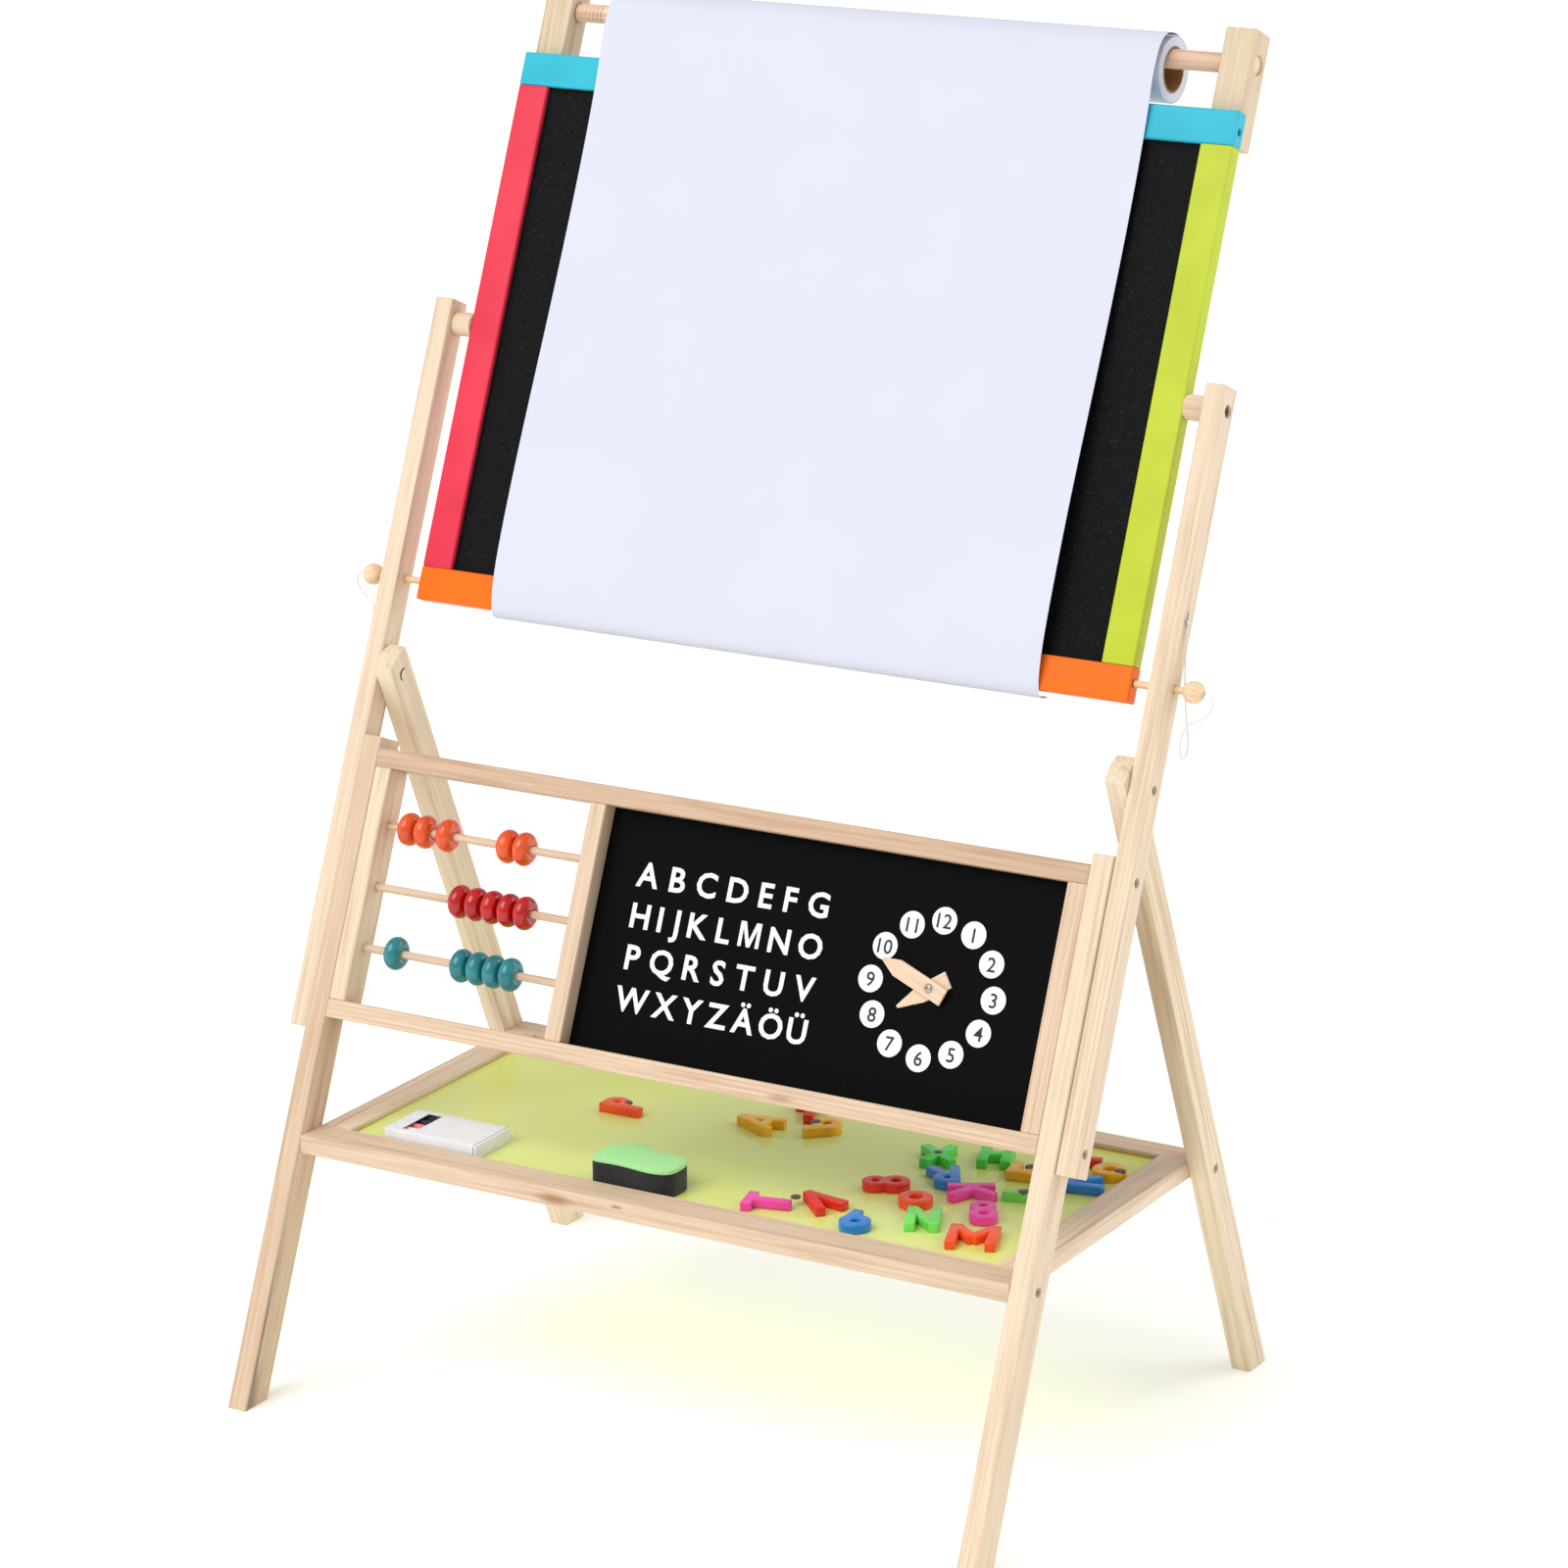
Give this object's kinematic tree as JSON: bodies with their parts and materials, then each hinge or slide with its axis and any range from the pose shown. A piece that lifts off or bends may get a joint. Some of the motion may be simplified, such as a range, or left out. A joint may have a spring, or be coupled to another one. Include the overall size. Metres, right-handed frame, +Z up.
{
  "type": "children's easel",
  "caption": "Wooden children's easel: swivelling two-sided drawing board, paper roll on a dowel, abacus and learning clock panel, tray with chalks, eraser and magnetic letters.",
  "frame": {"origin": "on the floor, in the middle of the footprint", "axes": "+Z up, -Y towards the child who draws, +X to the right as seen from the front"},
  "size_m": [0.705, 0.4604, 0.9948],
  "materials": {
    "pine_frame": "clear lacquered pine, flat and edge grain",
    "pine_tray": "clear lacquered pine, rosier",
    "tray_floor": "glossy lime lacquer on hardboard",
    "letter_print": "printed satin black hardboard",
    "turned_pine": "sanded turned pine",
    "hand_wood": "warm lacquered plywood",
    "steel": "zinc plated",
    "pin_metal": "satin",
    "cord_white": "twisted white cotton",
    "paint_turquoise": "satin turquoise paint on wood",
    "paint_orange": "satin orange paint on wood",
    "paint_red": "satin red paint on wood",
    "paint_lime": "satin lime paint on wood",
    "chalk_face": "matt chalkboard paint on hardboard",
    "marker_face": "glossy white melamine",
    "core_board": "wound brown board",
    "drawing_paper": "uncoated white paper",
    "bead_orange": "glossy lacquered beech",
    "bead_red": "glossy lacquered beech",
    "bead_teal": "glossy lacquered beech",
    "box_card": "coated white card",
    "felt": "dark pressed felt",
    "foam": "mint green foam",
    "letter_plastic": "moulded glossy plastic in several colours"
  },
  "bodies": {
    "frame": {"left_upright": "pine_frame", "right_upright": "pine_frame", "left_front_leg": "pine_frame", "right_front_leg": "pine_frame", "left_rear_leg": "pine_frame", "right_rear_leg": "pine_frame", "tray_front_rail": "pine_tray", "tray_rear_rail": "pine_tray", "tray_left_rail": "pine_tray", "tray_right_rail": "pine_tray", "tray_panel": "tray_floor", "panel_top_rail": "pine_frame", "panel_bottom_rail": "pine_frame", "panel_left_stile": "pine_frame", "panel_middle_stile": "pine_frame", "panel_right_stile": "pine_frame", "letter_board": "letter_print", "abacus_rods": "turned_pine", "clock_pin": "pin_metal", "frame_bolts": "steel", "left_pivot_spacer": "pine_frame", "right_pivot_spacer": "pine_frame", "cord_staples": "steel", "left_peg_cord": "cord_white", "right_peg_cord": "cord_white"},
    "board": {"board_top_rail": "paint_turquoise", "board_bottom_rail": "paint_orange", "board_left_stile": "paint_red", "board_right_stile": "paint_lime", "chalkboard": "chalk_face", "whiteboard": "marker_face", "left_roll_post": "pine_frame", "right_roll_post": "pine_frame", "paper_sheet": "drawing_paper"},
    "left_peg": {"left_lock_peg": "turned_pine"},
    "right_peg": {"right_lock_peg": "turned_pine"},
    "dowel": {"roll_dowel": "turned_pine"},
    "roll": {"paper_core": "core_board", "paper_roll": "drawing_paper"},
    "hour_hand": {"clock_hour_hand": "hand_wood"},
    "minute_hand": {"clock_minute_hand": "hand_wood"},
    "chalks": {"chalk_box": "box_card"},
    "eraser": {"eraser_felt": "felt", "eraser_top": "foam"},
    "letters": {"magnetic_letters": "letter_plastic"},
    "bead_top_1": {"bead_top_1": "bead_orange"},
    "bead_top_2": {"bead_top_2": "bead_orange"},
    "bead_top_3": {"bead_top_3": "bead_orange"},
    "bead_top_4": {"bead_top_4": "bead_orange"},
    "bead_top_5": {"bead_top_5": "bead_orange"},
    "bead_middle_1": {"bead_middle_1": "bead_red"},
    "bead_middle_2": {"bead_middle_2": "bead_red"},
    "bead_middle_3": {"bead_middle_3": "bead_red"},
    "bead_middle_4": {"bead_middle_4": "bead_red"},
    "bead_middle_5": {"bead_middle_5": "bead_red"},
    "bead_bottom_1": {"bead_bottom_1": "bead_teal"},
    "bead_bottom_2": {"bead_bottom_2": "bead_teal"},
    "bead_bottom_3": {"bead_bottom_3": "bead_teal"},
    "bead_bottom_4": {"bead_bottom_4": "bead_teal"},
    "bead_bottom_5": {"bead_bottom_5": "bead_teal"}
  },
  "joints": [
    {"name": "board_flip", "type": "hinge", "parent": "frame", "child": "board", "pos_m": [0, 0.09572, 0.74772], "axis": [-1, 0, 0], "range_deg": [-180, 0]},
    {"name": "left_peg_slide", "type": "slide", "parent": "frame", "child": "left_peg", "axis": [-1, 0, 0], "range_m": [-0.005, 0.035], "deforming": ["left_peg_cord"]},
    {"name": "right_peg_slide", "type": "slide", "parent": "frame", "child": "right_peg", "axis": [1, 0, 0], "range_m": [-0.005, 0.035], "deforming": ["right_peg_cord"]},
    {"name": "roll_spin", "type": "hinge", "parent": "board", "child": "roll", "pos_m": [0, 0.20353, 0.96119], "axis": [1, 0, 0], "continuous": true},
    {"name": "dowel_pull", "type": "slide", "parent": "board", "child": "dowel", "axis": [1, 0, 0], "range_m": [0, 0.12]},
    {"name": "hour_hand_turn", "type": "hinge", "parent": "frame", "child": "hour_hand", "pos_m": [0.1845, -0.067, 0.35618], "axis": [0, 0.9239, -0.3827], "continuous": true},
    {"name": "minute_hand_turn", "type": "hinge", "parent": "frame", "child": "minute_hand", "pos_m": [0.1845, -0.067, 0.35618], "axis": [0, 0.9239, -0.3827], "continuous": true},
    {"name": "bead_top_1_slide", "type": "slide", "parent": "frame", "child": "bead_top_1", "axis": [1, 0, 0], "range_m": [-0.01205, 0.0013]},
    {"name": "bead_top_2_slide", "type": "slide", "parent": "frame", "child": "bead_top_2", "axis": [1, 0, 0], "range_m": [-0.0013, 0.0068]},
    {"name": "bead_top_3_slide", "type": "slide", "parent": "frame", "child": "bead_top_3", "axis": [1, 0, 0], "range_m": [-0.0068, 0.0398]},
    {"name": "bead_top_4_slide", "type": "slide", "parent": "frame", "child": "bead_top_4", "axis": [1, 0, 0], "range_m": [-0.0398, 0.0013]},
    {"name": "bead_top_5_slide", "type": "slide", "parent": "frame", "child": "bead_top_5", "axis": [1, 0, 0], "range_m": [-0.0013, 0.04755]},
    {"name": "bead_middle_1_slide", "type": "slide", "parent": "frame", "child": "bead_middle_1", "axis": [1, 0, 0], "range_m": [-0.06705, 0.0013]},
    {"name": "bead_middle_2_slide", "type": "slide", "parent": "frame", "child": "bead_middle_2", "axis": [1, 0, 0], "range_m": [-0.0013, 0.0013]},
    {"name": "bead_middle_3_slide", "type": "slide", "parent": "frame", "child": "bead_middle_3", "axis": [1, 0, 0], "range_m": [-0.0013, 0.0013]},
    {"name": "bead_middle_4_slide", "type": "slide", "parent": "frame", "child": "bead_middle_4", "axis": [1, 0, 0], "range_m": [-0.0013, 0.0013]},
    {"name": "bead_middle_5_slide", "type": "slide", "parent": "frame", "child": "bead_middle_5", "axis": [1, 0, 0], "range_m": [-0.0013, 0.03655]},
    {"name": "bead_bottom_1_slide", "type": "slide", "parent": "frame", "child": "bead_bottom_1", "axis": [1, 0, 0], "range_m": [-0.02155, 0.0448]},
    {"name": "bead_bottom_2_slide", "type": "slide", "parent": "frame", "child": "bead_bottom_2", "axis": [1, 0, 0], "range_m": [-0.0448, 0.0013]},
    {"name": "bead_bottom_3_slide", "type": "slide", "parent": "frame", "child": "bead_bottom_3", "axis": [1, 0, 0], "range_m": [-0.0013, 0.0013]},
    {"name": "bead_bottom_4_slide", "type": "slide", "parent": "frame", "child": "bead_bottom_4", "axis": [1, 0, 0], "range_m": [-0.0013, 0.0013]},
    {"name": "bead_bottom_5_slide", "type": "slide", "parent": "frame", "child": "bead_bottom_5", "axis": [1, 0, 0], "range_m": [-0.0013, 0.03855]},
    {"name": "chalks_lift", "type": "slide", "parent": "frame", "child": "chalks", "axis": [0, 0, 1], "range_m": [0, 0.05]},
    {"name": "eraser_lift", "type": "slide", "parent": "frame", "child": "eraser", "axis": [0, 0, 1], "range_m": [0, 0.05]},
    {"name": "letters_lift", "type": "slide", "parent": "frame", "child": "letters", "axis": [0, 0, 1], "range_m": [0, 0.05]}
  ]
}
